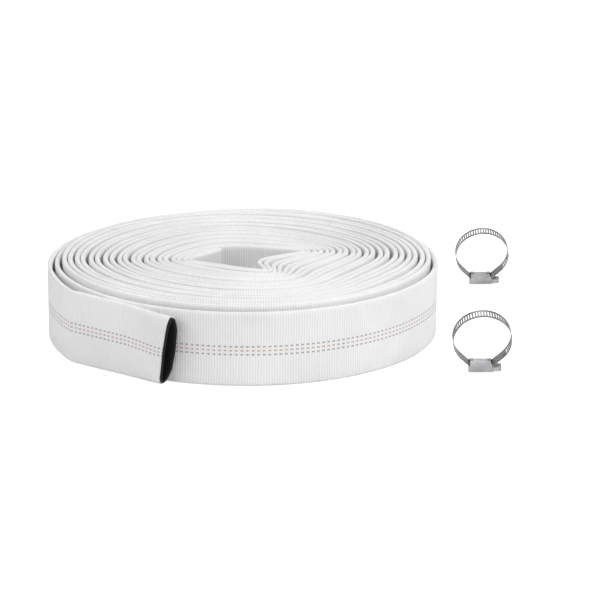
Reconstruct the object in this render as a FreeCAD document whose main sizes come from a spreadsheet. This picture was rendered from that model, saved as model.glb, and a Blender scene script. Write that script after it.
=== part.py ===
"""Rolled lay-flat fire hose with its two worm-drive clips, in millimetres, +Z up.

The hose lies on its edge on the floor (z = 0), rolled double: folded at mid length and wound from the
fold outward, so that both ends are outside. The origin is on the floor at the centre of the roll.
Two clips stand on their screw housings beside the roll, leaning forward, each ring's axis near Y.
"""
import FreeCAD, Part
import math
import os
import re

import Sketcher

V = FreeCAD.Vector

SIZES = {
    # Hose
    "flat_width": 85,          # the 52 mm (2 inch) bore pressed flat
    "jacket_wall": 0.9,
    "lining_wall": 0.7,
    "lining_clearance": 0.3,   # between the jacket and the lining
    "bore_gap": 0.6,           # left between the lining's two flat sides
    "layer_pitch": 7.2,        # from one flat layer of the roll to the next
    "turns": 11,               # turns of the doubled hose
    "fold_radius": 70.2,       # from the roll's centre to the fold at mid length
    "bulge_start": 150,        # degrees round the roll where the outer layer leaves it
    "bulge_radius": 245,
    "crease_angle": 210,       # degrees round the roll where the free end is creased
    "crease_turn": 23,         # degrees that the crease bends the free end
    "crease_radius": 12,
    "free_length": 138,        # from the crease to the mouth
    "crease_gap": 0.3,         # between the roll and the free end that swings on the crease
    "tucked_end": 100,         # degrees round the roll where the other end stops, at the back
    # Clips
    "ring_radius": 33,         # outside of the band
    "straight_inset": 1.2,     # from the barrel's ends to the bends of the band's straight stretch
    "ring_ease": 1.1,          # how many times further round the band leaves the circle than it must
    "band_width": 14,
    "band_thick": 0.7,
    "slot_pitch": 3.2,         # also the worm's pitch
    "slot_wide": 1.5,
    "slot_long": 8.6,
    "slot_count": 45,          # round the ring, from slot_start
    "slot_start": 121,         # degrees from the ring's top
    "worm_slots": 7,           # in the straight stretch, where the worm engages
    "housing_length": 26.5,    # the barrel round the worm
    "cage_inset": 0.75,        # from the barrel's ends to the side walls and tabs that hold the saddle
    "saddle_corner": 1.5,
    "sheet_thick": 0.8,        # the housing's and the saddle's steel
    "running_gap": 0.3,        # round the worm and along the band
    "seat_gap": 0.1,           # between the saddle and the housing that holds it
    "tab_length": 4.5,         # tabs folded over the saddle's ends
    "tab_reach": 2.6,
    "worm_radius": 4.2,
    "worm_depth": 1.1,         # height of the worm's thread
    "neck_radius": 3.0,
    "end_wall": 1.2,           # the housing's wall round the screw's neck
    "flange_radius": 5.1,
    "flange_thick": 1.1,
    "hex_flats": 8.6,
    "hex_length": 8.6,
    "driver_slot": 1.4,
    "driver_depth": 2.2,
    # Where the clips stand
    "clip_lean": 16,           # degrees that each ring leans forward, towards -Y, on its round barrel
    "front_clip_across": 269,
    "front_clip_along": -172,
    "rear_clip_across": 302,
    "rear_clip_along": 182,
}

doc = FreeCAD.newDocument("rolled_fire_hose")
sheet = doc.addObject("Spreadsheet::Sheet", "sizes")
for row, (alias, number) in enumerate(SIZES.items(), start=1):
    sheet.set(f"A{row}", alias)
    sheet.set(f"B{row}", str(number))
    sheet.setAlias(f"B{row}", alias)
doc.recompute()


def size(alias):
    return float(sheet.get(alias))


# ---------------------------------------------------------------- hose

def polar(centre, radius, degrees):
    turned = math.radians(degrees)
    return V(centre.x + radius * math.cos(turned), centre.y + radius * math.sin(turned), 0)


def spiral(first_radius, turns):
    """Half circles of a two-centre spiral, counterclockwise and outward, from angle 0."""
    pitch = 2 * size("layer_pitch")
    arcs = []
    for turn in range(turns):
        radius = first_radius + turn * pitch
        arcs.append((V(0, 0, 0), radius, 0, 180))
        arcs.append((V(pitch / 2, 0, 0), radius + pitch / 2, 180, 360))
    return arcs


def backward(arcs):
    return [(centre, radius, end, start) for centre, radius, start, end in reversed(arcs)]


def tucked_leg(past_end=0):
    """The leg that ends at the back, wound outward. past_end lengthens it, to cut its mouth open."""
    turns = int(size("turns"))
    radius = size("fold_radius") + turns * 2 * size("layer_pitch")
    last = (V(0, 0, 0), radius, 0, size("tucked_end") + math.degrees(past_end / radius))
    return spiral(size("fold_radius"), turns) + [last]


def outer_leg(past_end=0):
    """The leg that ends in the free end, wound outward as far as the crease."""
    arcs = spiral(size("fold_radius") + size("layer_pitch"), int(size("turns")))[:-1]
    centre, radius, start, _ = arcs.pop()
    bulge = size("bulge_radius")
    leave = size("bulge_start")
    bulge_centre = polar(centre, radius - bulge, leave)
    stop = size("crease_angle") + math.degrees((past_end - size("crease_gap")) / bulge)
    return arcs + [(centre, radius, start, leave), (bulge_centre, bulge, leave, stop)]


def rolled_path(past_end=0):
    """Both legs with the fold between them: from the tucked end in to the fold and out to the crease."""
    gap = size("layer_pitch")
    fold = (V(size("fold_radius") + gap / 2, 0, 0), gap / 2, 180, 360)
    return backward(tucked_leg(past_end)) + [fold] + outer_leg(past_end)


def crease_start():
    centre, radius, _, _ = outer_leg()[-1]
    return polar(centre, radius, size("crease_angle"))


def free_path(past_end=0):
    """The crease's arc, then the straight run to the mouth as a pair of points."""
    start = crease_start()
    heading = size("crease_angle")
    radius = size("crease_radius")
    centre = polar(start, -radius, heading)
    turned = heading + size("crease_turn")
    bend = (centre, radius, heading - math.degrees(past_end / radius), turned)
    first = polar(centre, radius, turned)
    last = polar(first, size("free_length") + past_end, turned + 90)
    return [bend, (first, last)]


def offset_edge(piece, aside):
    """One stretch of the path moved aside, to the right of its direction when aside is positive."""
    if len(piece) == 2:
        first, last = piece
        along = (last - first).normalize()
        step = V(along.y, -along.x, 0) * aside
        return Part.makeLine(first + step, last + step)
    centre, radius, start, end = piece
    reach = radius + (aside if end > start else -aside)
    ends = [polar(centre, reach, angle) for angle in (start, (start + end) / 2, end)]
    return Part.Arc(*ends).toShape()


def ribbon(path, half_thick, low, high):
    """A solid of constant thickness that stands on edge along the path, from z = low to high."""
    right = [offset_edge(piece, half_thick) for piece in path]
    left = [offset_edge(piece, -half_thick) for piece in path]
    ends = [
        Part.makeLine(right[-1].lastVertex(True).Point, left[-1].lastVertex(True).Point),
        Part.makeLine(left[0].firstVertex(True).Point, right[0].firstVertex(True).Point),
    ]
    outline = Part.Wire(Part.__sortEdges__(right + left + ends))
    face = Part.Face(outline)
    face.translate(V(0, 0, low))
    return face.extrude(V(0, 0, high - low))


def flat_tube(make_path, outside, wall):
    """A flattened tube along a path, open at both ends; outside is its depth inside the jacket."""
    thick = flat_thickness() - 2 * outside
    low, high = outside, size("flat_width") - outside
    past = thick
    solid = ribbon(make_path(), thick / 2, low, high)
    space = ribbon(make_path(past), thick / 2 - wall, low + wall, high - wall)
    return solid.cut(space)


def flat_thickness():
    walls = size("jacket_wall") + size("lining_clearance") + size("lining_wall")
    return 2 * walls + size("bore_gap")


def add_shape(name, shape):
    piece = doc.addObject("Part::Feature", name)
    piece.Label = name
    piece.Shape = shape
    piece.Placement = FreeCAD.Placement()
    return piece


def make_hose():
    inside_jacket = size("jacket_wall") + size("lining_clearance")
    stretches = {"roll": rolled_path, "free_end": free_path}
    made = []
    for stretch, path in stretches.items():
        jacket = flat_tube(path, 0, size("jacket_wall"))
        lining = flat_tube(path, inside_jacket, size("lining_wall"))
        made.append(add_shape("woven_jacket_" + stretch, jacket))
        made.append(add_shape("rubber_lining_" + stretch, lining))
    return made


# ---------------------------------------------------------------- clips
# Each clip is built upright at the origin, then placed. Its ring's axis runs along Y, above the
# worm, which runs along X with its head at +X.

AXLE = "(flange_radius + running_gap)"                        # worm's axis above the floor
UNDERSIDE = "(" + AXLE + " + worm_radius + running_gap)"       # under side of the straight stretch of band
INNER = "(ring_radius - band_thick)"
STRAIGHT = "(housing_length / 2 - straight_inset)"            # half of the band's straight stretch
LEAVE = "(2 * ring_ease * atan(" + STRAIGHT + " / " + INNER + "))"   # where the band leaves the circle
RADIUS_THERE = "((" + INNER + " - " + STRAIGHT + " * sin(" + LEAVE + ")) / cos(" + LEAVE + "))"
RING = "(" + UNDERSIDE + " + band_thick + " + RADIUS_THERE + ")"    # ring's axis above the floor
BESIDE = "(band_width / 2 + running_gap)"     # from the band's middle to the housing's side wall
SADDLE = "(" + UNDERSIDE + " + band_thick + running_gap)"      # under side of the saddle
TABS = "(" + SADDLE + " + sheet_thick + seat_gap)"            # under side of the tabs over the saddle
HALF = "(housing_length / 2)"
CAGE = "(housing_length - 2 * cage_inset)"
ALONG_X = FreeCAD.Rotation(V(0, 1, 0), 90)    # turns a cylinder's axis from Z to X


def bound(expression):
    """The expression with each name of the sheet written as sizes.name."""
    return re.sub(r"\b([a-z]+(?:_[a-z]+)+)\b", r"sizes.\1", expression)


def primitive(kind, name, place=("0", "0", "0"), turn=None, **lengths):
    piece = doc.addObject("Part::" + kind, name)
    piece.Placement = FreeCAD.Placement(V(0, 0, 0), turn or FreeCAD.Rotation())
    for length, expression in lengths.items():
        piece.setExpression(length, bound(expression))
    for axis, expression in zip("xyz", place):
        piece.setExpression("Placement.Base." + axis, bound(expression))
    return piece


def fuse(name, pieces):
    result = doc.addObject("Part::MultiFuse", name)
    result.Shapes = pieces
    return result


def cut(name, base, tool):
    result = doc.addObject("Part::Cut", name)
    result.Base = base
    result.Tool = tool
    return result


def rod(name, radius, start, length):
    """A cylinder along the worm's axis, from x = start."""
    return primitive("Cylinder", name, (start, "0", AXLE), ALONG_X, Radius=radius, Height=length)


def block(name, length, width, low, high, start=None):
    """A box centred on the clip in Y, and in X unless it starts at start."""
    place = (start or "-" + length + " / 2", "-" + width + " / 2", low)
    return primitive("Box", name, place, Length=length, Width=width, Height=high + " - " + low)


def stand(piece, clip, part):
    """Names a finished piece of a clip, leans it round the worm's axis and moves it to where it stands."""
    piece.Label = clip + "_clip_" + part
    piece.Placement = FreeCAD.Placement(V(0, 0, 0), FreeCAD.Rotation(V(1, 0, 0), size("clip_lean")))
    lean = "(clip_lean * 1deg)"
    piece.setExpression("Placement.Base.x", bound(clip + "_clip_across"))
    piece.setExpression("Placement.Base.y", bound(clip + "_clip_along + " + AXLE + " * sin" + lean))
    piece.setExpression("Placement.Base.z", bound(AXLE + " * (1 - cos" + lean + ")"))
    return piece


def plane(body, role):
    return next(f for f in body.Origin.OriginFeatures if f.Role == role)


def sketch_on(body, role, name):
    sketch = body.newObject("Sketcher::SketchObject", name)
    sketch.AttachmentSupport = [(plane(body, role), "")]
    sketch.MapMode = "FlatFace"
    return sketch


def ring_loop(sketch, name, radius, drop, beside=None):
    """A circle that runs out along two tangents to a straight stretch below it, centred on the origin.
    beside is the first line of another loop, which this loop's tangents run parallel to."""
    reach = size("ring_radius")
    half = size("housing_length") / 2 - size("straight_inset")
    leave = 2 * size("ring_ease") * math.atan(half / (reach - size("band_thick")))
    low = (reach - half * math.sin(leave)) / math.cos(leave)
    touch = V(reach * math.sin(leave), -reach * math.cos(leave), 0)
    arc = Part.ArcOfCircle(Part.Circle(V(0, 0, 0), V(0, 0, 1), reach), leave - math.pi / 2,
                           3 * math.pi / 2 - leave)
    corners = [V(-touch.x, touch.y, 0), V(-half, -low, 0), V(half, -low, 0), touch]
    lines = [Part.LineSegment(corners[k], corners[k + 1]) for k in range(3)]
    bend, left, flat, right = (sketch.addGeometry(piece, False) for piece in [arc] + lines)
    for rule in (
        ("Coincident", bend, 3, -1, 1),
        ("Tangent", bend, 2, left, 1),
        ("Tangent", right, 2, bend, 1),
        ("Coincident", left, 2, flat, 1),
        ("Coincident", flat, 2, right, 1),
        ("Symmetric", flat, 1, flat, 2, -2),
    ):
        sketch.addConstraint(Sketcher.Constraint(*rule))
    sizes = [("radius", ("Radius", bend, reach), radius)]
    sizes.append(("drop", ("DistanceY", flat, 1, -1, 1, low), drop))
    if beside is None:
        index = sketch.addConstraint(Sketcher.Constraint("Angle", left, -leave))
        sketch.renameConstraint(index, name + "_slope")
        sketch.setExpression("Constraints." + name + "_slope", bound("-" + LEAVE))
    else:
        sketch.addConstraint(Sketcher.Constraint("Parallel", left, beside))
    for kind, rule, expression in sizes:
        index = sketch.addConstraint(Sketcher.Constraint(*rule))
        sketch.renameConstraint(index, name + "_" + kind)
        sketch.setExpression("Constraints." + name + "_" + kind, bound(expression))
    return left


def centred_rectangle(sketch, wide, long):
    corners = [V(-1, -2, 0), V(1, -2, 0), V(1, 2, 0), V(-1, 2, 0)]
    for k in range(4):
        sketch.addGeometry(Part.LineSegment(corners[k], corners[(k + 1) % 4]), False)
    for k in range(4):
        sketch.addConstraint(Sketcher.Constraint("Coincident", k, 2, (k + 1) % 4, 1))
        level = "Horizontal" if k % 2 == 0 else "Vertical"
        sketch.addConstraint(Sketcher.Constraint(level, k))
    sketch.addConstraint(Sketcher.Constraint("Symmetric", 0, 1, 1, 2, -1, 1))
    for name, line, kind, expression in (("wide", 0, "DistanceX", wide), ("long", 1, "DistanceY", long)):
        index = sketch.addConstraint(Sketcher.Constraint(kind, line, 1, line, 2, 3))
        sketch.renameConstraint(index, name)
        sketch.setExpression("Constraints." + name, bound(expression))


def slot_sketch(body, name, place, lean=0):
    """A slot's outline on a plane at this place in the body, leaning from level about Y."""
    slot = sketch_on(body, "XY_Plane", name)
    slot.AttachmentOffset = FreeCAD.Placement(V(0, 0, 0), FreeCAD.Rotation(V(0, 1, 0), lean))
    for axis, expression in zip("xz", place):
        slot.setExpression("AttachmentOffset.Base." + axis, bound(expression))
    centred_rectangle(slot, "slot_wide", "slot_long")
    return slot


def pattern_slot(body, name, outline, kind, axis, **lengths):
    """Cuts one slot through the band along its outline's normal, then repeats it."""
    before = body.Tip.Shape.Volume
    pocket = body.newObject("PartDesign::Pocket", name)
    pocket.Profile = outline
    pocket.Reversed = True
    pocket.setExpression("Length", bound("band_thick + 2 * running_gap"))
    doc.recompute()
    one_slot = size("slot_wide") * size("slot_long") * size("band_thick")
    if pocket.Shape.Volume > before - one_slot / 2:
        raise RuntimeError(name + " cuts nothing from the band")
    pattern = body.newObject("PartDesign::" + kind, name + "s")
    pattern.Originals = [pocket]
    setattr(pattern, "Axis" if kind == "PolarPattern" else "Direction", axis)
    for length, expression in lengths.items():
        pattern.setExpression(length, bound(expression))
    body.Tip = pattern
    doc.recompute()


def make_band(clip):
    """The ring of band, slotted for the worm, with a straight stretch that runs through the housing."""
    body = doc.addObject("PartDesign::Body", clip + "_band")
    ring = sketch_on(body, "XZ_Plane", clip + "_ring_outline")
    ring.setExpression("AttachmentOffset.Base.y", bound(RING))
    outside = ring_loop(ring, "outside", "ring_radius", RING + " - " + UNDERSIDE)
    ring_loop(ring, "inside", INNER, RING + " - " + UNDERSIDE + " - band_thick", outside)
    pad = body.newObject("PartDesign::Pad", clip + "_ring")
    pad.Profile = ring
    pad.Midplane = True
    pad.setExpression("Length", bound("band_width"))
    doc.recompute()
    reach = "(" + INNER + " - running_gap)"
    place = (
        reach + " * sin(slot_start * 1deg)",
        RING + " + " + reach + " * cos(slot_start * 1deg)",
    )
    first = slot_sketch(body, clip + "_ring_slot_outline", place, size("slot_start"))
    step = "(slot_pitch / (ring_radius - band_thick / 2) * 1rad)"
    pattern_slot(
        body,
        clip + "_ring_slot",
        first,
        "PolarPattern",
        (ring, ["N_Axis"]),
        Angle=step + " * (slot_count - 1)",
        Occurrences="slot_count",
    )
    place = ("-slot_pitch * (worm_slots - 1) / 2", UNDERSIDE + " - running_gap")
    first = slot_sketch(body, clip + "_worm_slot_outline", place)
    pattern_slot(
        body,
        clip + "_worm_slot",
        first,
        "LinearPattern",
        (first, ["H_Axis"]),
        Length="slot_pitch * (worm_slots - 1)",
        Occurrences="worm_slots",
    )
    return stand(body, clip, "band")


def make_saddle(clip):
    """The plate inside the ring that backs the band's straight stretch, held by the housing's tabs."""
    width = "(2 * (" + BESIDE + " - seat_gap))"
    length = "(2 * (" + STRAIGHT + " - running_gap))"
    plate = block(clip + "_saddle_blank", length, width, SADDLE, "(" + SADDLE + " + sheet_thick)")
    doc.recompute()
    rounded = doc.addObject("Part::Fillet", clip + "_saddle_plate")
    rounded.Base = plate
    corner = size("saddle_corner")
    rounded.Edges = [
        (number, corner, corner)
        for number, edge in enumerate(plate.Shape.Edges, start=1)
        if abs(edge.BoundBox.ZLength - edge.Length) < 1e-6
    ]
    return stand(rounded, clip, "saddle")


def make_housing(clip):
    """The barrel round the worm, with side walls past the band's edges and tabs over the saddle."""
    name = clip + "_housing_"
    long = "(3 * housing_length)"
    outside = "(2 * (" + BESIDE + " + sheet_thick))"
    top = "(" + TABS + " + sheet_thick)"
    barrel = rod(name + "barrel", AXLE, "-" + HALF, "housing_length")
    neck = block(name + "neck", "housing_length", "(2 * " + AXLE + ")", AXLE, UNDERSIDE)
    cage_low = "(" + UNDERSIDE + " - running_gap - sheet_thick)"
    cage = block(name + "cage", CAGE, outside, cage_low, top)
    shell = fuse(name + "shell", [barrel, neck, cage])
    spaces = [
        block(name + "passage", long, "(2 * " + BESIDE + ")", "(" + UNDERSIDE + " - running_gap)", TABS),
        block(name + "between_tabs", "(" + CAGE + " - 2 * tab_length)", long, TABS, RING),
        block(name + "over_saddle", long, "(2 * (" + BESIDE + " - tab_reach))", SADDLE, RING),
        rod(name + "bore", "(worm_radius + running_gap)", "-" + HALF, "(housing_length - end_wall)"),
        rod(name + "screw_hole", "(neck_radius + running_gap)", "-" + HALF, "(2 * housing_length)"),
    ]
    return stand(cut(name + "cover", shell, fuse(name + "space", spaces)), clip, "housing")


def make_screw(clip):
    """The worm, its neck through the housing's end wall, and a slotted hexagon head on a flange."""
    name = clip + "_screw_"
    worm_end = "(housing_length / 2 - end_wall - running_gap)"
    worm_start = "(-housing_length / 2 + running_gap)"
    root = "(worm_radius - worm_depth)"
    face = "(housing_length / 2 + running_gap)"
    pieces = [
        rod(name + "core", root, worm_start, worm_end + " - " + worm_start),
        rod(name + "neck", "neck_radius", worm_end, "(end_wall + 3 * running_gap)"),
        rod(name + "flange", "flange_radius", face, "flange_thick"),
    ]
    threaded = size("housing_length") - size("end_wall") - 2 * size("running_gap")
    for turn in range(int(threaded / size("slot_pitch"))):
        start = "(" + worm_end + " - " + str(turn + 1) + " * slot_pitch)"
        rise = {"Radius1": root, "Radius2": "worm_radius"}
        fall = {"Radius1": "worm_radius", "Radius2": root}
        for side, radii, step in (("rise", rise, "0.1"), ("fall", fall, "0.5")):
            piece = primitive(
                "Cone",
                name + side + str(turn),
                (start + " + " + step + " * slot_pitch", "0", AXLE),
                ALONG_X,
                Height="0.4 * slot_pitch",
                **radii,
            )
            pieces.append(piece)
    head_start = "(" + face + " + flange_thick)"
    head = primitive(
        "Prism",
        name + "hexagon",
        (head_start, "0", AXLE),
        ALONG_X,
        Circumradius="hex_flats / sqrt(3)",
        Height="hex_length",
    )
    head.Polygon = 6
    pieces.append(head)
    slot = block(
        name + "driver_slot",
        "(2 * driver_depth)",
        "(3 * hex_flats)",
        "(" + AXLE + " - driver_slot / 2)",
        "(" + AXLE + " + driver_slot / 2)",
        "(" + head_start + " + hex_length - driver_depth)",
    )
    return stand(cut(name + "turned", fuse(name + "whole", pieces), slot), clip, "screw")


def make_clip(clip):
    return [make(clip) for make in (make_band, make_saddle, make_housing, make_screw)]


# ---------------------------------------------------------------- build

pieces = make_hose() + make_clip("front") + make_clip("rear")
doc.recompute()

for feature in doc.Objects:
    if "Invalid" in feature.State or "Error" in feature.State:
        raise RuntimeError(feature.Name + " failed")
for piece in pieces:
    if piece.Shape.isNull() or not piece.Shape.isValid() or not piece.Shape.Solids:
        raise RuntimeError(piece.Label + " has no valid solid")

os.makedirs("parts", exist_ok=True)
for piece in pieces:
    piece.Shape.exportStep("parts/" + piece.Label + ".step")
    print(piece.Label, round(piece.Shape.Volume), "mm3,", len(piece.Shape.Solids), "solid")

roll_length = sum(
    edge.Length for edge in (offset_edge(stretch, 0) for stretch in rolled_path() + free_path())
)
print("hose length", round(roll_length / 1000, 2), "m")
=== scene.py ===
"""A double-rolled lay-flat fire hose and its two worm-drive clips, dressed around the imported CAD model.

The hose is one long flat tube of woven jacket over a rubber lining, standing on its edge. Its line in
plan is laid out turn by turn around a crumpled middle, then settled so that the layers lie beside each
other without cutting. The clips stay as the CAD gives them and get their metal finishes here.
"""
import math

import bmesh
import bpy
import numpy as np
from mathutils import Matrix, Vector


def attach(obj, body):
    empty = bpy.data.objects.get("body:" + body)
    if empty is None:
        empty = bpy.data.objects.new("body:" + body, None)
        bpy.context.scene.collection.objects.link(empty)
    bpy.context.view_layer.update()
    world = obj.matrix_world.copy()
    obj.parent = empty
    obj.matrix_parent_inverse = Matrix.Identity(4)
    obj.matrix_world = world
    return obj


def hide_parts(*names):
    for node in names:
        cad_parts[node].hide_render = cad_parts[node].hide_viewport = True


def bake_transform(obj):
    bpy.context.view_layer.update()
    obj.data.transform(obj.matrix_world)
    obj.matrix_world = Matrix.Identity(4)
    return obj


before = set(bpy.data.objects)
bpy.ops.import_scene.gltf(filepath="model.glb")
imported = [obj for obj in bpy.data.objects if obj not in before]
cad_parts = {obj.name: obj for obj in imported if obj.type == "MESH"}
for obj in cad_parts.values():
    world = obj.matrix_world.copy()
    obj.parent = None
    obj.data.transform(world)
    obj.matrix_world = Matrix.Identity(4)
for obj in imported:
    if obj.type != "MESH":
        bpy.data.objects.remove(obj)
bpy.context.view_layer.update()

MM = 0.001

# ---------------------------------------------------------------- sizes, in mm and degrees
FLAT_WIDTH = 85.0             # the hose pressed flat, standing on edge
PAIR_PITCH = 14.4             # from one turn of the doubled hose to the next
LEG_PITCH = 6.3               # between the two legs of one turn
OUTER_RADIUS = 228.6          # of the leg that ends at the back
TUCKED_END = 100.0            # where that leg stops, in degrees round the roll
CREASE_AT = 210.0             # where the other leg is creased into the free end
FOLD_AT = 130.0               # where the hose is folded at mid length
TURNS = 11
BULGE_START = 150.0           # the outer leg leaves the roll here, on its way to the crease
BULGE_EASE = 24.0             # degrees over which it does
BULGE_RADIUS = 245.0          # of the arc that it then follows
BULGE_CENTRE = (20.44, -11.8)
CREASE_RADIUS = 12.0
CREASE_TURN = 23.0
FREE_LENGTH = 138.0           # from the crease to the mouth
SHARED = 24.0                 # how far before the crease the free end's own cloth starts

LAYER_APART = 6.1             # least distance between two layers' middles after settling
LINE_STEP = 6.0               # between the points of the line that settles
RING_STEP = 5.0               # between the rings of points of the rolled hose
BEAD_HALF = 2.95              # half thickness at the folded edges
BEAD_HEIGHT = 3.2             # where that thickness is reached, from the edge
FACE_HALF = 2.45              # and along the flat sides
FACE_FROM = 16.0              # where the flat side starts
JACKET_WALL = 1.1
LINING_WALL = 1.6
MOUTH_OPEN = 6.4              # how far each side of the mouth stands off its middle
MOUTH_RUN = 62.0              # over this length before the mouth
MOUTH_SHORT = 5.0             # how much lower the opened mouth stands than the flat hose
MOUTH_SLANT = 13.0            # the lower edge of the cut lies this far back
MOUTH_LONG = 2.5              # and its upper edge this far ahead
LIP = 2.2                     # lining that stands past the jacket

RAISED = 6.0                  # how far the roll's inside stands above its slack outer wraps
RAISE_ALONG = 260.0           # length of hose over which it rises
LOW_TUCKED = 1250.0           # length of the wrap that stays down, from the end at the back
LOW_OUTER = 330.0             # and from the crease
EVEN_END = 60.0               # length over which the hose's unevenness fades out before the crease

# How far the outermost turn bulges off its spiral, at degrees round the roll
BULGES = [
    (130, -4), (150, -3), (180, -1), (215, -1.5), (240, -1.5), (270, 1), (300, 3), (330, 5),
    (346, 6), (362, 5), (385, 3), (415, 1), (450, 0), (475, 0), (490, 0),
]

# The innermost layer round the roll's crumpled middle: degrees, then x and y
MIDDLE = [
    (130, -23, 19), (146, -38, 1), (165, -54, -14), (180, -66, -25), (192, -61, -34), (212, -42, -42),
    (240, -14, -56), (268, 9, -68), (292, 24, -73), (303, 34, -74), (312, 27, -57), (320, 18, -39),
    (328, 22, -25), (337, 40, -13), (346, 60, -1), (356, 78, 8), (366, 82, 14), (378, 72, 18),
    (396, 50, 22), (418, 26, 29), (442, 0, 37), (466, -23, 39), (490, -35, 31),
]


# ---------------------------------------------------------------- line of the hose in plan

def spline(at, points, where):
    """Smooth curve through points given at increasing values of at."""
    slope = np.zeros_like(points)
    steps = (points[1:] - points[:-1]) / (at[1:] - at[:-1])[:, None]
    slope[1:-1] = (steps[1:] + steps[:-1]) / 2
    slope[0], slope[-1] = steps[0], steps[-1]
    k = np.clip(np.searchsorted(at, where, side="right") - 1, 0, len(at) - 2)
    long = (at[k + 1] - at[k])[:, None]
    t = ((where - at[k]) / long[:, 0])[:, None]
    return (
        (2 * t**3 - 3 * t**2 + 1) * points[k]
        + (t**3 - 2 * t**2 + t) * long * slope[k]
        + (3 * t**2 - 2 * t**3) * points[k + 1]
        + (t**3 - t**2) * long * slope[k + 1]
    )


def on_circle(centre, radius, degrees):
    """Points on a circle, or a spiral where the radius changes with the degrees."""
    turned = np.radians(degrees)
    return np.stack([centre[0] + radius * np.cos(turned), centre[1] + radius * np.sin(turned)], -1)


def leg(last, outside):
    """One leg of the doubled hose, from the fold outward; outside is 0 for the inner leg, 1 for the other."""
    degrees = np.arange(FOLD_AT, last + 1e-6, 1.0)
    into_turn = (degrees - FOLD_AT) % 360
    middle = np.array(MIDDLE, float)
    inner = spline(middle[:, 0], middle[:, 1:], FOLD_AT + into_turn)
    start_radius = OUTER_RADIUS - PAIR_PITCH * (TURNS * 360 + TUCKED_END - FOLD_AT) / 360
    radius = start_radius + PAIR_PITCH * (degrees - FOLD_AT) / 360 + outside * LEG_PITCH
    inner_radius = start_radius + PAIR_PITCH * into_turn / 360
    bulges = np.array(BULGES, float)
    last_radius = inner_radius + PAIR_PITCH * (TURNS - 1)
    bulge = spline(bulges[:, 0], bulges[:, 1:], FOLD_AT + into_turn)[:, 0]
    outer = on_circle((0, 0), last_radius + bulge, degrees)
    share = (radius - inner_radius) / (last_radius - inner_radius)
    return inner + (outer - inner) * share[:, None], radius


def smooth(t):
    """0 below 0, 1 above 1 and an easy rise between them."""
    t = np.clip(t, 0, 1)
    return t * t * (3 - 2 * t)


def rolled_line():
    """The whole roll, from the end at the back in to the fold and out to where the crease starts."""
    tucked, tucked_radius = leg(360 * TURNS + TUCKED_END, 0)
    stop = 360 * (TURNS - 1) + CREASE_AT
    outer, outer_radius = leg(stop, 1)
    degrees = np.arange(FOLD_AT, stop + 1e-6, 1.0) - 360 * (TURNS - 1)
    bulge = on_circle(BULGE_CENTRE, BULGE_RADIUS, degrees)
    mix = smooth((degrees - BULGE_START) / BULGE_EASE)[:, None]
    outer = outer * (1 - mix) + bulge * mix
    half = (outer[0] - tucked[0]) / 2
    back = np.array([half[1], -half[0]])
    if back @ (tucked[3] - tucked[0]) > 0:
        back = -back
    bend = np.radians(np.arange(15, 180, 15))[:, None]
    fold = (tucked[0] + outer[0]) / 2 - half * np.cos(bend) + back * np.sin(bend)
    line = np.concatenate([tucked[::-1], fold, outer])
    radius = np.concatenate([tucked_radius[::-1], np.full(len(fold), tucked_radius[0]), outer_radius])
    return evenly(line, radius)


def lengths(line):
    """How far along the line each of its points is."""
    return np.concatenate([[0], np.cumsum(np.linalg.norm(np.diff(line, axis=0), axis=1))])


def evenly(line, extra):
    """The same line with its points LINE_STEP apart, and the extra value that goes with each."""
    run = lengths(line)
    where = np.linspace(0, run[-1], int(round(run[-1] / LINE_STEP)) + 1)
    columns = [np.interp(where, run, line[:, k]) for k in (0, 1)]
    return np.stack(columns, -1), np.interp(where, run, extra)


def settle(line, radius):
    """Lets the layers of the middle press each other apart, keeping their length and their stiffness."""
    loose_within, loose_ease, reach = 185.0, 40.0, 15   # the outer turns hold still
    rounds, steps, smoothings = 30, 8, 12
    stiffness, pull_share, push_share, homing, smoothing = 0.3, 0.5, 0.25, 0.01, 0.5
    look_around = 3                                     # layers nearer than this much more are paired
    same_layer = 2.2                                    # times LAYER_APART along one layer, not paired
    line = line.copy()
    start = line.copy()
    rest = np.linalg.norm(np.diff(line, axis=0), axis=1)
    loose = np.clip((loose_within - radius) / loose_ease, 0, 1)
    near = np.where(radius < loose_within + reach)[0]
    apart_along = same_layer * LAYER_APART / rest.mean()
    for _ in range(rounds):
        points = line[near]
        squared = ((points[:, None, :] - points[None, :, :]) ** 2).sum(-1)
        first, second = np.where(np.triu(squared < (LAYER_APART + look_around) ** 2, 1))
        first, second = near[first], near[second]
        keep = (second - first) > apart_along
        first, second = first[keep], second[keep]
        for _ in range(steps):
            straighter = np.zeros_like(line)
            straighter[1:-1] = (line[:-2] + line[2:]) / 2 - line[1:-1]
            line += straighter * (stiffness * loose)[:, None]
            for odd in (0, 1):
                a = np.arange(odd, len(line) - 1, 2)
                b = a + 1
                edge = line[b] - line[a]
                long = np.linalg.norm(edge, axis=1)
                pull = (pull_share * (long - rest[a]) / long)[:, None] * edge
                line[a] += pull * loose[a][:, None]
                line[b] -= pull * loose[b][:, None]
            edge = line[second] - line[first]
            long = np.maximum(np.linalg.norm(edge, axis=1), 1e-6)
            push = (np.clip(LAYER_APART - long, 0, None) * push_share / long)[:, None] * edge
            np.add.at(line, first, -push * loose[first][:, None])
            np.add.at(line, second, push * loose[second][:, None])
            line += (start - line) * (homing * loose)[:, None]
    outward_share = np.clip(radius[1:-1] / 100 - 1, 0, 1)[:, None]
    for _ in range(smoothings):
        straighter = (line[:-2] + line[2:]) / 2 - line[1:-1]
        line[1:-1] += smoothing * straighter * outward_share
    return line


def waves(run, reach, periods, seed):
    """A smooth irregular value along the hose, up to reach either way, from waves of these lengths."""
    random = np.random.default_rng(seed)
    total = sum(np.sin(2 * np.pi * run / period + random.uniform(0, 2 * np.pi)) for period in periods)
    return reach * total / len(periods)


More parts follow.
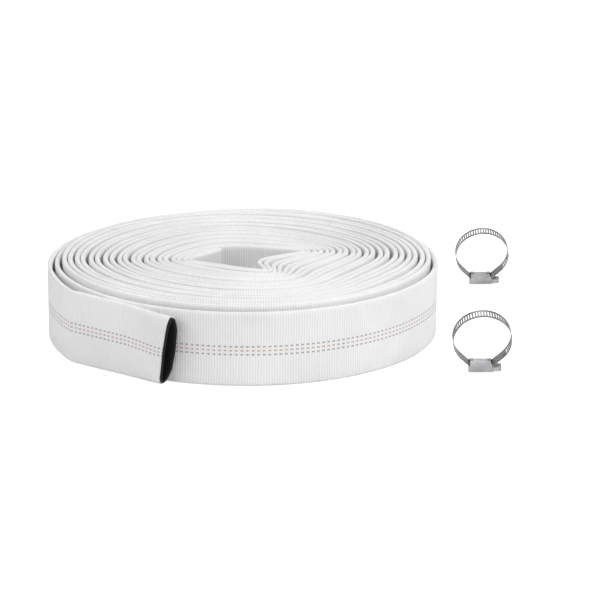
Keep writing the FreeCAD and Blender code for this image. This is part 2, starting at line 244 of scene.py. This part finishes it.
def free_line():
    """From SHARED before the crease, round the crease and straight to the mouth, in the CAD's place."""
    spacing = 2.5
    before = math.degrees(SHARED / BULGE_RADIUS)
    bulge = on_circle(BULGE_CENTRE, BULGE_RADIUS, np.linspace(CREASE_AT - before, CREASE_AT, 10))
    start = bulge[-1]
    centre = on_circle(start, -CREASE_RADIUS, CREASE_AT)
    bend = on_circle(centre, CREASE_RADIUS, np.linspace(CREASE_AT, CREASE_AT + CREASE_TURN, 7))[1:]
    heading = math.radians(CREASE_AT + CREASE_TURN + 90)
    ahead = np.arange(spacing, FREE_LENGTH + 1e-6, spacing)[:, None]
    straight = bend[-1] + ahead * np.array([[math.cos(heading), math.sin(heading)]])
    return np.concatenate([bulge, bend, straight])


# ---------------------------------------------------------------- meshes

def section(height, half_edge, half_face):
    """One side of the flat hose's section: heights above its lower edge and how far the skin stands off."""
    edge = [(0.0, 0.0), (0.35, 0.55), (1.2, 0.86), (BEAD_HEIGHT, 1.0), (7.5, 0.96)]
    fuller = half_face * 1.03
    rows = [(z, share * half_edge) for z, share in edge]
    rows += [(FACE_FROM, fuller), (height / 2, half_face), (height - FACE_FROM, fuller)]
    rows += [(height - z, share * half_edge) for z, share in reversed(edge)]
    return np.array(rows)


def across(line):
    """Unit normals in plan, to the right of the line's direction."""
    ahead = np.gradient(line, axis=0)
    ahead /= np.linalg.norm(ahead, axis=1)[:, None]
    return np.stack([ahead[:, 1], -ahead[:, 0]], -1)


def add_object(name, mesh, body, finish):
    """Makes a piece from its mesh, attached to its body when one is given. A piece that is
    blended across a joint gets no body here.
    """
    piece = bpy.data.objects.new(name, mesh)
    bpy.context.scene.collection.objects.link(piece)
    mesh.materials.append(finish)
    if body:
        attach(piece, body)
    return piece


def skin_rings(line, height, bead, face, lift, sway):
    """Rings of points round the hose, one ring for each point of the line, in mm."""
    side = across(line)
    rings = []
    for k in range(len(line)):
        rows = section(height[k], bead[k], face[k])
        z = rows[:, 0]
        level = z / height[k]
        middle = line[k][None, :] + side[k][None, :] * (sway[k] * (level - 0.5))[:, None]
        right = middle + side[k][None, :] * rows[:, 1][:, None]
        left = middle - side[k][None, :] * rows[:, 1][:, None]
        up = np.concatenate([right, left[-2:0:-1]])
        heights = np.concatenate([z, z[-2:0:-1]]) + lift[k]
        rings.append(np.concatenate([up, heights[:, None]], axis=1))
    return np.array(rings)


def tube_mesh(name, rings, run, around=None):
    """Joins rings of points into a smooth closed tube, its lay mapped in metres: along, then around."""
    count, points = rings.shape[:2]
    if around is None:
        one = rings[count // 2]
        steps = np.linalg.norm(np.roll(one, -1, axis=0) - one, axis=1)
        around = np.concatenate([[0], np.cumsum(steps)])
    vertices = (rings.reshape(-1, 3) * MM).tolist()
    faces, corners = [], []
    for k in range(count - 1):
        base = k * points
        for j in range(points):
            after = (j + 1) % points
            faces.append((base + j, base + after, base + points + after, base + points + j))
            corners += [
                (run[k], around[j]), (run[k], around[j + 1]),
                (run[k + 1], around[j + 1]), (run[k + 1], around[j]),
            ]
    faces.append(tuple(reversed(range(points))))
    corners += [(run[0], around[j]) for j in reversed(range(points))]
    last = (count - 1) * points
    faces.append(tuple(last + j for j in range(points)))
    corners += [(run[-1], around[j]) for j in range(points)]
    mesh = bpy.data.meshes.new(name)
    mesh.from_pydata(vertices, [], faces)
    mesh.update()
    lay = mesh.uv_layers.new(name="lay")
    lay.data.foreach_set("uv", (np.array(corners) * MM).ravel())
    mesh.polygons.foreach_set("use_smooth", [True] * len(mesh.polygons))
    shape = bmesh.new()
    shape.from_mesh(mesh)
    bmesh.ops.recalc_face_normals(shape, faces=shape.faces)
    shape.to_mesh(mesh)
    shape.free()
    return mesh


def make_roll(jacket):
    """The jacket of the whole roll, standing on its edge: slightly uneven, and higher inside."""
    line, radius = rolled_line()
    line = settle(line, radius)
    run = lengths(line)
    line = spline(run, line, np.linspace(0, run[-1], int(run[-1] / RING_STEP)))
    run = lengths(line)
    to_crease = run[-1] - run
    even = smooth(to_crease / EVEN_END)

    # each waves() has its reach and its wavelengths in mm, then the seed of its phases
    height = FLAT_WIDTH + waves(run, 1.1, (310, 540, 910, 1700), 3) * even
    bead = BEAD_HALF + waves(run, 0.16, (63, 97, 151), 5) * even
    face = FACE_HALF + waves(run, 0.2, (83, 131, 229), 6) * even
    sway = waves(run, 0.8, (210, 370, 660), 7) * even
    lift = np.clip(waves(run, 0.5, (400, 700), 8), 0, None) * even
    risen = smooth((run - LOW_TUCKED) / RAISE_ALONG) * smooth((to_crease - LOW_OUTER) / RAISE_ALONG)
    rings = skin_rings(line, height, bead, face, lift + RAISED * risen, sway)
    mesh = tube_mesh("woven_jacket_roll", rings, run)
    piece = add_object("jacket_roll", mesh, "hose", jacket)
    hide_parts("woven_jacket_roll")
    return piece, line, run


def make_tucked_mouth(rubber, line):
    """The lining that shows as a closed slit at the other end, where the hose stops at the back."""
    ahead = (line[0] - line[1]) / np.linalg.norm(line[0] - line[1])
    line = np.concatenate([[line[0] + ahead * LIP, line[0] + ahead * LIP * 0.6], line[:8]])
    count = len(line)
    height = np.full(count, FLAT_WIDTH - 2 * JACKET_WALL)
    bead = np.full(count, BEAD_HALF - JACKET_WALL)
    bead[0] *= 0.8
    still = np.zeros(count)
    rings = skin_rings(line, height, bead, bead * 0.9, still + JACKET_WALL, still)
    mesh = tube_mesh("rubber_lining_roll", rings, lengths(line))
    piece = add_object("lining_roll", mesh, "hose", rubber)
    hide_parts("rubber_lining_roll")


def make_free_end(jacket, rubber, roll_run):
    """The free end's jacket and lining: flat at the crease, opened and cut at a slant at the mouth."""
    cut_eases, lining_runs = 110, 100     # over these lengths before the mouth
    blunt, full = 3.2, 0.8                # shape of the opened mouth's belly, from edge to edge
    left_sag, lip_lead = 1.2, 1.4         # how far its left side sags, and its lip leads there
    ripples = ((1.2, 17, 0), (0.6, 43, 1))   # reach in mm, then pace and shift up the mouth
    thinnest = 0.12
    line = free_line()
    run = lengths(line)
    to_mouth = run[-1] - run
    opened = smooth(1 - to_mouth / MOUTH_RUN)
    after_crease = smooth((run - SHARED) / FREE_LENGTH)
    height = FLAT_WIDTH - MOUTH_SHORT * (0.55 * after_crease + 0.45 * opened)
    side = across(line)

    def skin(inset, past):
        """Rings of one skin, inset from the jacket's outside; past is how far its lip stands out."""
        rings = []
        for k in range(len(line)):
            rows = section(height[k], BEAD_HALF, FACE_HALF)
            level = rows[:, 0] / height[k]
            belly = np.clip(1 - np.abs(2 * level - 1) ** blunt, 0, 1) ** full
            off = rows[:, 1] + MOUTH_OPEN * opened[k] * belly
            off = np.where(rows[:, 1] > 0, np.maximum(off - inset, thinnest), 0)
            z = height[k] / 2 + (rows[:, 0] - height[k] / 2) * (1 - 2 * inset / height[k])
            cut = (MOUTH_SLANT * (1 - level) ** 1.3 - MOUTH_LONG) * smooth(1 - to_mouth[k] / cut_eases)
            rippled = sum(reach * np.sin(level * pace + shift) for reach, pace, shift in ripples)
            ripple = opened[k] * rippled * belly
            ahead = -cut + past * opened[k] ** 4
            direction = np.array([-side[k][1], side[k][0]])
            middle = line[k][None, :] + direction[None, :] * ahead[:, None]
            right = middle + side[k][None, :] * (off + ripple)[:, None]
            left = middle - side[k][None, :] * (off - 0.6 * ripple + left_sag * opened[k] * belly)[:, None]
            left += direction[None, :] * (lip_lead * past * opened[k] ** 4 * belly)[:, None]
            plan = np.concatenate([right, left[-2:0:-1]])
            up = np.concatenate([z, z[-2:0:-1]])
            rings.append(np.concatenate([plan, up[:, None]], axis=1))
        return np.array(rings)

    outer, inner = skin(0.0, 0.0), skin(JACKET_WALL, 0.0)
    mesh = walled_mesh("woven_jacket_free_end", outer, inner, run + roll_run[-1] - SHARED)
    piece = add_object("jacket_free_end", mesh, None, jacket)
    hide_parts("woven_jacket_free_end")
    keep = run > run[-1] - lining_runs
    bonded = 0.05                         # the lining reaches this far into the jacket it is bonded to
    outer, inner = skin(JACKET_WALL - bonded, LIP)[keep], skin(JACKET_WALL + LINING_WALL, LIP)[keep]
    mesh = walled_mesh("rubber_lining_free_end", outer, inner, run[keep])
    tongue = add_object("lining_free_end", mesh, "free_end", rubber)
    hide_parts("rubber_lining_free_end")
    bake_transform(piece)
    return piece, run[-1]


def walled_mesh(name, outer, inner, run):
    """A tube with thickness, open at its far end: the outside, round the rim, and back down the inside."""
    rings = np.concatenate([outer, inner[::-1]])
    one = outer[len(outer) // 2]
    steps = np.linalg.norm(np.roll(one, -1, axis=0) - one, axis=1)
    around = np.concatenate([[0], np.cumsum(steps)])
    along = np.concatenate([run, run[::-1]])
    return tube_mesh(name, rings, along, around)


# ---------------------------------------------------------------- materials

def linear(code):
    """An sRGB hex colour as the linear values that the shader takes."""
    parts = [int(code[k:k + 2], 16) / 255 for k in (1, 3, 5)]
    return tuple(c / 12.92 if c <= 0.04045 else ((c + 0.055) / 1.055) ** 2.4 for c in parts) + (1.0,)


def node(tree, kind, **values):
    """Adds a shader node. A value named for one of the node's settings sets it, and any other fills the
    input of that name, or of that place for i0, i1 and so on. A node given as a value is linked by its
    first output. Of a Mix node, i0 is the share, i6 and i7 are the colours, and outputs[2] is the mixed
    colour."""
    made = tree.nodes.new("ShaderNode" + kind)
    for key, value in values.items():
        if hasattr(made, key):
            setattr(made, key, value)
            continue
        socket = made.inputs[int(key[1:]) if key[0] == "i" and key[1:].isdigit() else key]
        if isinstance(value, bpy.types.Node):
            value = value.outputs[0]
        if isinstance(value, bpy.types.NodeSocket):
            tree.links.new(value, socket)
        else:
            socket.default_value = value
    return made


def material(name):
    """A new material, with its node tree and its shader."""
    made = bpy.data.materials.new(name)
    made.use_nodes = True
    tree = made.node_tree
    return made, tree, tree.nodes["Principled BSDF"]


def wave_along(tree, distance, period):
    """A soft wave from 0 to 1 that repeats every period along a distance in metres."""
    turned = node(tree, "Math", operation="MULTIPLY", i0=distance, i1=2 * math.pi / period)
    sine = node(tree, "Math", operation="SINE", i0=turned)
    return node(tree, "Math", operation="MULTIPLY_ADD", i0=sine, i1=0.5, i2=0.5)


def polyester_jacket():
    """Spun polyester, circular woven: off-white and matt, ribbed across its width by the weft it hides, with
    painted shade in the grooves between the ribs, and three dashed marker yarns down the middle of each side."""
    made, tree, shader = material("Woven spun polyester")
    rib, pick = 3.0 * MM, 1.5 * MM         # weft and warp, drawn coarser than real so that they show
    dash, dash_share = 6.1 * MM, 0.52      # a dash with its gap, and the part of it that is dyed
    row, yarn_half = 4.6 * MM, 0.19        # between marker yarns, and half a yarn in parts of that
    round_half, to_middle = 90.5 * MM, 43.5 * MM   # from edge to edge of one side, and to its middle
    fibre_size = 1.1 * MM
    lay = node(tree, "SeparateXYZ", i0=node(tree, "UVMap", uv_map="lay"))
    along, around = lay.outputs[0], lay.outputs[1]
    ribs = wave_along(tree, along, rib)
    picks = wave_along(tree, around, pick)
    place = node(tree, "TexCoord").outputs["Object"]
    blotch = node(tree, "TexNoise", i0=place, Scale=9.0, Detail=3.0, Roughness=0.55)
    fibre = node(tree, "TexNoise", i0=place, Scale=1 / fibre_size, Detail=2.0)

    # marker yarns: rows count up and down from the middle one, which is red
    half = node(tree, "Math", operation="MODULO", i0=around, i1=round_half)
    off_middle = node(tree, "Math", operation="SUBTRACT", i0=half, i1=to_middle)
    rows = node(tree, "Math", operation="DIVIDE", i0=off_middle, i1=row)
    nearest = node(tree, "Math", operation="ROUND", i0=rows)
    which = node(tree, "Math", operation="ABSOLUTE", i0=nearest)
    beside = node(tree, "Math", operation="SUBTRACT", i0=rows, i1=nearest)
    off_row = node(tree, "Math", operation="ABSOLUTE", i0=beside)
    in_row = node(tree, "Math", operation="LESS_THAN", i0=off_row, i1=yarn_half)
    in_band = node(tree, "Math", operation="LESS_THAN", i0=which, i1=1.5)
    in_rows = node(tree, "Math", operation="MULTIPLY", i0=in_row, i1=in_band)
    dashes = node(tree, "Math", operation="DIVIDE", i0=along, i1=dash)
    through_dash = node(tree, "Math", operation="FRACT", i0=dashes)
    in_dash = node(tree, "Math", operation="LESS_THAN", i0=through_dash, i1=dash_share)
    yarn = node(tree, "Math", operation="MULTIPLY", i0=in_rows, i1=in_dash)

    worn = node(tree, "MapRange", i0=blotch, i1=0.3, i2=0.7)
    cloth = node(tree, "Mix", data_type="RGBA", i0=worn, i6=linear("#EBEBEB"), i7=linear("#F6F6F6"))
    # painted shade: in the grooves between the ribs the cloth's colour is drawn up to a fifth of the way to
    # grey #A6A6A6
    groove_shade = node(tree, "Math", operation="MULTIPLY_ADD", i0=ribs, i1=-0.2, i2=0.2)
    cloth = node(
        tree, "Mix", data_type="RGBA", i0=groove_shade, i6=cloth.outputs[2], i7=linear("#A6A6A6")
    )
    middle_row = node(tree, "Math", operation="LESS_THAN", i0=which, i1=0.5)
    dye = node(tree, "Mix", data_type="RGBA", i0=middle_row, i6=linear("#6E6874"), i7=linear("#B0796A"))
    dyed = node(tree, "Math", operation="MULTIPLY", i0=yarn, i1=0.62)
    colour = node(tree, "Mix", data_type="RGBA", i0=dyed, i6=cloth.outputs[2], i7=dye.outputs[2])
    tree.links.new(colour.outputs[2], shader.inputs["Base Color"])
    rough = node(tree, "Math", operation="MULTIPLY_ADD", i0=fibre, i1=0.12, i2=0.78)
    tree.links.new(rough.outputs[0], shader.inputs["Roughness"])
    shader.inputs["Sheen Weight"].default_value = 0.12
    shader.inputs["Sheen Roughness"].default_value = 0.5
    shader.inputs["Specular IOR Level"].default_value = 0.3
    height = node(tree, "Math", operation="MULTIPLY_ADD", i0=picks, i1=0.25, i2=ribs)
    height = node(tree, "Math", operation="MULTIPLY_ADD", i0=fibre, i1=0.35, i2=height)
    height = node(tree, "Math", operation="MULTIPLY_ADD", i0=yarn, i1=0.5, i2=height)
    bump = node(tree, "Bump", Strength=0.8, Distance=0.4 * MM, Height=height)
    tree.links.new(bump.outputs[0], shader.inputs["Normal"])
    return made


def black_rubber():
    """EPDM rubber, extruded: near black and dull, with a faint mottle in its shine."""
    made, tree, shader = material("Extruded EPDM rubber")
    place = node(tree, "TexCoord").outputs["Object"]
    mottle = node(tree, "TexNoise", i0=place, Scale=60.0, Detail=4.0)
    bloom = node(tree, "MapRange", i0=mottle, i1=0.35, i2=0.7)
    colour = node(tree, "Mix", data_type="RGBA", i0=bloom, i6=linear("#0A0A0A"), i7=linear("#121213"))
    tree.links.new(colour.outputs[2], shader.inputs["Base Color"])
    rough = node(tree, "Math", operation="MULTIPLY_ADD", i0=mottle, i1=0.2, i2=0.68)
    tree.links.new(rough.outputs[0], shader.inputs["Roughness"])
    shader.inputs["Specular IOR Level"].default_value = 0.3
    bump = node(tree, "Bump", Strength=0.35, Distance=0.3 * MM, Height=mottle)
    tree.links.new(bump.outputs[0], shader.inputs["Normal"])
    return made


def steel(name, light, dark, roughness, edge, grain):
    """Steel sheet or bar: bare metal with fine drawn scratches, dulled in patches, its edges rounded
    by edge. grain stretches the scratches along X, Y and Z."""
    made, tree, shader = material(name)
    scratch_size, patch_size, scratch_depth = 0.9 * MM, 14 * MM, 0.05 * MM
    place = node(tree, "TexCoord").outputs["Object"]
    drawn = node(tree, "Mapping", i0=place, Scale=grain)
    scratch = node(tree, "TexNoise", i0=drawn, Scale=1 / scratch_size, Detail=4.0, Roughness=0.65)
    dull = node(tree, "TexNoise", i0=place, Scale=1 / patch_size, Detail=3.0)
    patch = node(tree, "MapRange", i0=dull, i1=0.3, i2=0.7)
    colour = node(tree, "Mix", data_type="RGBA", i0=patch, i6=linear(dark), i7=linear(light))
    tree.links.new(colour.outputs[2], shader.inputs["Base Color"])
    shader.inputs["Metallic"].default_value = 1.0
    rough = node(tree, "Math", operation="MULTIPLY_ADD", i0=scratch, i1=0.22, i2=roughness - 0.11)
    rough = node(tree, "Math", operation="MULTIPLY_ADD", i0=dull, i1=0.1, i2=rough)
    tree.links.new(rough.outputs[0], shader.inputs["Roughness"])
    rounded = node(tree, "Bevel", samples=4, Radius=edge)
    bump = node(tree, "Bump", Strength=0.12, Distance=scratch_depth, Height=scratch, Normal=rounded)
    tree.links.new(bump.outputs[0], shader.inputs["Normal"])
    return made


def dress_clips():
    """Gives the clips' own pieces their metals: bright strip, duller pressings and a plated screw."""
    band = steel("Rolled stainless steel strip", "#8C8C8C", "#646566", 0.32, 0.12 * MM, (1, 0.08, 1))
    housing = steel("Pressed stainless steel", "#A8A8A8", "#868789", 0.34, 0.3 * MM, (0.3, 1, 1))
    screw = steel("Turned zinc-plated steel", "#AEB0B2", "#888B8E", 0.28, 0.25 * MM, (1, 0.2, 0.2))
    for name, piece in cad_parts.items():
        if "_clip_" not in name:
            continue
        finish = band if name.endswith("band") else screw if name.endswith("screw") else housing
        if not piece.material_slots:
            piece.data.materials.append(finish)
        for slot in piece.material_slots:
            slot.material = finish


# ---------------------------------------------------------------- stage

def seen_or_mirrored(tree):
    """1 for the eye's own rays and for what metal mirrors, 0 for light that falls on the object."""
    path = node(tree, "LightPath")
    rays = (path.outputs["Is Camera Ray"], path.outputs["Is Glossy Ray"])
    return node(tree, "Math", operation="MAXIMUM", i0=rays[0], i1=rays[1])


def floor_paint():
    """Matt white painted floor; the eye's own rays see it a little lighter than the lamps leave it."""
    made, tree, shader = material("Matt white paint")
    shader.inputs["Base Color"].default_value = linear("#F2F2F2")
    shader.inputs["Roughness"].default_value = 0.9
    glow = node(tree, "Math", operation="MULTIPLY", i0=seen_or_mirrored(tree), i1=0.6)
    tree.links.new(glow.outputs[0], shader.inputs["Emission Strength"])
    shader.inputs["Emission Color"].default_value = (1, 1, 1, 1)
    return made


def make_stage():
    """A plain floor just under the object, and a white surround that lights it softly."""
    reach, below, light_level = 9.0, 0.4 * MM, 0.28
    mesh = bpy.data.meshes.new("floor")
    corners = [(-reach, -reach, 0), (reach, -reach, 0), (reach, reach, 0), (-reach, reach, 0)]
    mesh.from_pydata(corners, [], [(0, 1, 2, 3)])
    floor = bpy.data.objects.new("floor", mesh)
    bpy.context.scene.collection.objects.link(floor)
    mesh.materials.append(floor_paint())
    floor.location.z = -below

    world = bpy.data.worlds.new("studio")
    bpy.context.scene.world = world
    world.use_nodes = True
    tree = world.node_tree
    tree.nodes.clear()
    level = node(
        tree, "Math", operation="MULTIPLY_ADD", i0=seen_or_mirrored(tree), i1=1 - light_level, i2=light_level
    )
    surround = node(tree, "Background", Color=(1, 1, 1, 1), Strength=level)
    node(tree, "OutputWorld", i0=surround)


def add_lamp(name, place, target, width, height, power):
    """A plain white rectangular lamp that faces its target."""
    lamp = bpy.data.lights.new(name, "AREA")
    lamp.shape = "RECTANGLE"
    lamp.size, lamp.size_y, lamp.energy = width, height, power
    holder = bpy.data.objects.new(name, lamp)
    bpy.context.scene.collection.objects.link(holder)
    holder.location = place
    holder.rotation_euler = (Vector(target) - Vector(place)).to_track_quat("-Z", "Y").to_euler()


def make_lamps():
    """A key from the right, a fill from the left and a soft top lamp; powers in watts."""
    add_lamp("key", (1.5, -1.1, 1.7), (0.05, 0, 0.04), 1.2, 1.2, 34.5)
    add_lamp("fill", (-1.8, -1.2, 1.2), (0, 0, 0.04), 1.6, 1.2, 19)
    add_lamp("top", (0.0, 0.5, 2.2), (0, 0, 0), 1.6, 1.6, 15.5)


def make_camera():
    """Looks along +Y, 16.4 degrees down, at a point over the roll's middle; the frame is shifted aside."""
    elevation, distance, look_height = math.radians(16.42), 2.9035, 0.0425
    lens = bpy.data.cameras.new("camera")
    lens.sensor_width = 36.0
    lens.lens = 146.9
    lens.shift_x, lens.shift_y = 0.0987, -0.0132
    holder = bpy.data.objects.new("camera", lens)
    bpy.context.scene.collection.objects.link(holder)
    holder.location = (0, -distance * math.cos(elevation), look_height + distance * math.sin(elevation))
    holder.rotation_euler = (math.pi / 2 - elevation, 0, 0)
    bpy.context.scene.camera = holder


# ---------------------------------------------------------------- build

make_camera()
bpy.context.scene.view_settings.view_transform = "Standard"
make_stage()
make_lamps()

jacket = polyester_jacket()
rubber = black_rubber()
roll, roll_points, roll_run = make_roll(jacket)
make_tucked_mouth(rubber, roll_points)
free_end, free_run = make_free_end(jacket, rubber, roll_run)
dress_clips()
